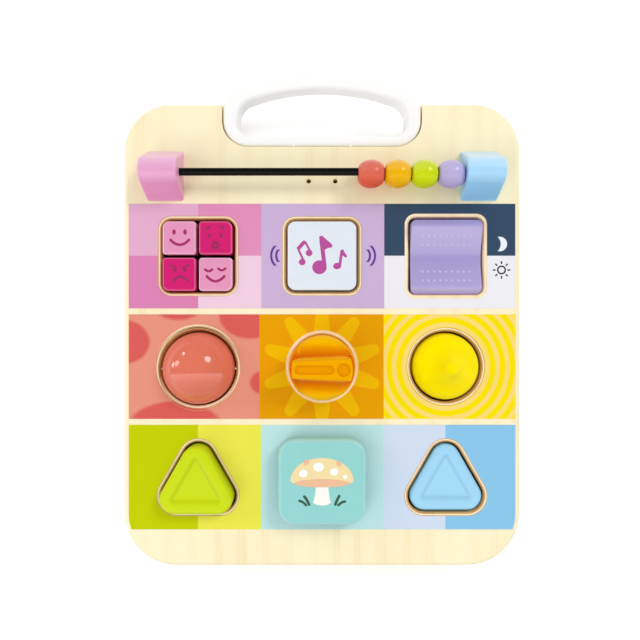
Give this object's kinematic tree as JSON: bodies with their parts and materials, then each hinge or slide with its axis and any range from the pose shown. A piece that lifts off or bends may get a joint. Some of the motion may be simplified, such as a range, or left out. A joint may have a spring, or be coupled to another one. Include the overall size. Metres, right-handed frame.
{
  "type": "wooden busy board",
  "caption": "Wooden activity board for small children with a carrying handle, a bead rail, sprung keys, a rocker, a rolling ball, a knob, a joystick and see-saw buttons.",
  "frame": {"origin": "under the middle of the whole object's box, on the back face", "axes": "+Z out of the front face, +Y towards the handle, +X to the right seen from the front"},
  "size_m": [0.254, 0.3154, 0.0595],
  "materials": {
    "maple": "clear matt lacquer",
    "maple_core": "clear matt lacquer",
    "maple_back": "clear matt lacquer",
    "white_plastic": "fine satin",
    "rod_black": "black satin",
    "screw_steel": "zinc plated",
    "pin_steel": "bright",
    "spring_steel": "bright",
    "pink_plastic": "gloss",
    "blue_plastic": "gloss",
    "bead_red": "gloss",
    "bead_orange": "gloss",
    "bead_lime": "gloss",
    "bead_purple": "gloss",
    "key_pink": "satin",
    "key_magenta": "satin",
    "button_white": "satin",
    "rocker_lilac": "satin",
    "ball_coral": "high gloss",
    "knob_orange": "gloss",
    "joystick_yellow": "satin",
    "triangle_lime": "gloss",
    "triangle_blue": "gloss",
    "block_teal": "matt",
    "inner_grey": "moulded",
    "inner_acetal": "moulded",
    "silicone": "translucent matt",
    "reed_plastic": "gloss",
    "print_top": "coated print",
    "print_middle": "coated print",
    "print_bottom": "coated print"
  },
  "bodies": {
    "board": {"front_panel": "maple", "core_frame": "maple_core", "back_panel": "maple_back", "panel_screws": "screw_steel", "handle_screws": "screw_steel", "handle": "white_plastic", "rail_rod": "rod_black", "rail_holder_left": "pink_plastic", "rail_holder_right": "blue_plastic", "print_strip_top": "print_top", "print_strip_middle": "print_middle", "print_strip_bottom": "print_bottom", "keys_tray": "inner_grey", "music_tray": "inner_grey", "rocker_tray": "inner_grey", "ball_tray": "inner_grey", "knob_tray": "inner_grey", "joystick_tray": "inner_grey", "green_guide": "inner_grey", "blue_guide": "inner_grey", "block_tray": "inner_grey", "key_dome_smile": "silicone", "key_dome_surprise": "silicone", "key_dome_angry": "silicone", "key_dome_calm": "silicone", "music_bulb": "silicone", "music_reed": "reed_plastic", "rocker_pin": "pin_steel", "rocker_click_spring": "spring_steel", "knob_click_spring": "inner_acetal", "joystick_boot": "silicone", "block_collar": "inner_acetal", "block_bulb": "silicone", "block_reed": "reed_plastic", "seesaw_pin": "pin_steel"},
    "bead_purple": {"bead_purple": "bead_purple"},
    "bead_lime": {"bead_lime": "bead_lime"},
    "bead_orange": {"bead_orange": "bead_orange"},
    "bead_red": {"bead_red": "bead_red"},
    "key_smile": {"key_smile": "key_pink"},
    "key_surprise": {"key_surprise": "key_magenta"},
    "key_angry": {"key_angry": "key_magenta"},
    "key_calm": {"key_calm": "key_pink"},
    "music_button": {"music_button": "button_white"},
    "rocker": {"rocker": "rocker_lilac"},
    "ball": {"ball_front_shell": "ball_coral", "ball_rear_shell": "ball_coral", "ball_axle": "inner_acetal"},
    "knob": {"knob": "knob_orange", "knob_click_wheel": "inner_acetal", "knob_washer": "screw_steel", "knob_screw": "screw_steel"},
    "joystick_cross": {"joystick_cross": "inner_acetal"},
    "joystick": {"joystick": "joystick_yellow"},
    "seesaw": {"seesaw_beam": "inner_acetal"},
    "green_triangle": {"green_triangle": "triangle_lime"},
    "blue_triangle": {"blue_triangle": "triangle_blue"},
    "block_cap": {"block_cap": "block_teal"}
  },
  "joints": [
    {"name": "bead_purple_slide", "type": "slide", "parent": "board", "child": "bead_purple", "axis": [1, 0, 0], "range_m": [-0.0275, 0]},
    {"name": "bead_lime_slide", "type": "slide", "parent": "bead_purple", "child": "bead_lime", "axis": [1, 0, 0], "range_m": [-0.0275, 0]},
    {"name": "bead_orange_slide", "type": "slide", "parent": "bead_lime", "child": "bead_orange", "axis": [1, 0, 0], "range_m": [-0.0275, 0]},
    {"name": "bead_red_slide", "type": "slide", "parent": "bead_orange", "child": "bead_red", "axis": [1, 0, 0], "range_m": [-0.0275, 0]},
    {"name": "key_smile_press", "type": "slide", "parent": "board", "child": "key_smile", "axis": [0, 0, 1], "range_m": [-0.003, 0], "stiffness_N_per_m": 400, "springref_m": 0.001, "deforming": ["key_dome_smile"]},
    {"name": "key_surprise_press", "type": "slide", "parent": "board", "child": "key_surprise", "axis": [0, 0, 1], "range_m": [-0.003, 0], "stiffness_N_per_m": 400, "springref_m": 0.001, "deforming": ["key_dome_surprise"]},
    {"name": "key_angry_press", "type": "slide", "parent": "board", "child": "key_angry", "axis": [0, 0, 1], "range_m": [-0.003, 0], "stiffness_N_per_m": 400, "springref_m": 0.001, "deforming": ["key_dome_angry"]},
    {"name": "key_calm_press", "type": "slide", "parent": "board", "child": "key_calm", "axis": [0, 0, 1], "range_m": [-0.003, 0], "stiffness_N_per_m": 400, "springref_m": 0.001, "deforming": ["key_dome_calm"]},
    {"name": "music_press", "type": "slide", "parent": "board", "child": "music_button", "axis": [0, 0, 1], "range_m": [-0.003, 0], "stiffness_N_per_m": 500, "springref_m": 0.001, "deforming": ["music_bulb"]},
    {"name": "rocker_tilt", "type": "hinge", "parent": "board", "child": "rocker", "pos_m": [0.0792, 0.0409, 0.0205], "axis": [1, 0, 0], "range_deg": [-7, 0]},
    {"name": "ball_spin", "type": "hinge", "parent": "board", "child": "ball", "pos_m": [-0.0792, -0.031, 0.028], "axis": [1, 0, 0], "continuous": true},
    {"name": "knob_turn", "type": "hinge", "parent": "board", "child": "knob", "pos_m": [0, -0.0298, 0.02], "axis": [0, 0, 1], "continuous": true},
    {"name": "joystick_tilt_x", "type": "hinge", "parent": "board", "child": "joystick_cross", "pos_m": [0.0792, -0.0298, 0.027], "axis": [1, 0, 0], "range_deg": [-12, 12], "stiffness_Nm_per_rad": 0.1, "deforming": ["joystick_boot"]},
    {"name": "joystick_tilt_y", "type": "hinge", "parent": "joystick_cross", "child": "joystick", "pos_m": [0.0792, -0.0298, 0.027], "axis": [0, 1, 0], "range_deg": [-12, 12], "stiffness_Nm_per_rad": 0.1, "deforming": ["joystick_boot"]},
    {"name": "seesaw_swing", "type": "hinge", "parent": "board", "child": "seesaw", "pos_m": [0, -0.1005, 0.0113], "axis": [0, -1, 0], "range_deg": [0, 6.64]},
    {"name": "green_triangle_press", "type": "slide", "parent": "board", "child": "green_triangle", "axis": [0, 0, 1], "range_m": [-0.009, 0]},
    {"name": "blue_triangle_press", "type": "slide", "parent": "board", "child": "blue_triangle", "axis": [0, 0, 1], "range_m": [0, 0.0092]},
    {"name": "block_press", "type": "slide", "parent": "board", "child": "block_cap", "axis": [0, 0, 1], "range_m": [-0.004, 0], "stiffness_N_per_m": 600, "springref_m": 0.001, "deforming": ["block_bulb"]}
  ],
  "couplings": [
    {"joint": "seesaw_swing", "follows": "green_triangle_press", "rad_per_m": -12.633},
    {"joint": "blue_triangle_press", "follows": "green_triangle_press", "ratio": -1}
  ]
}
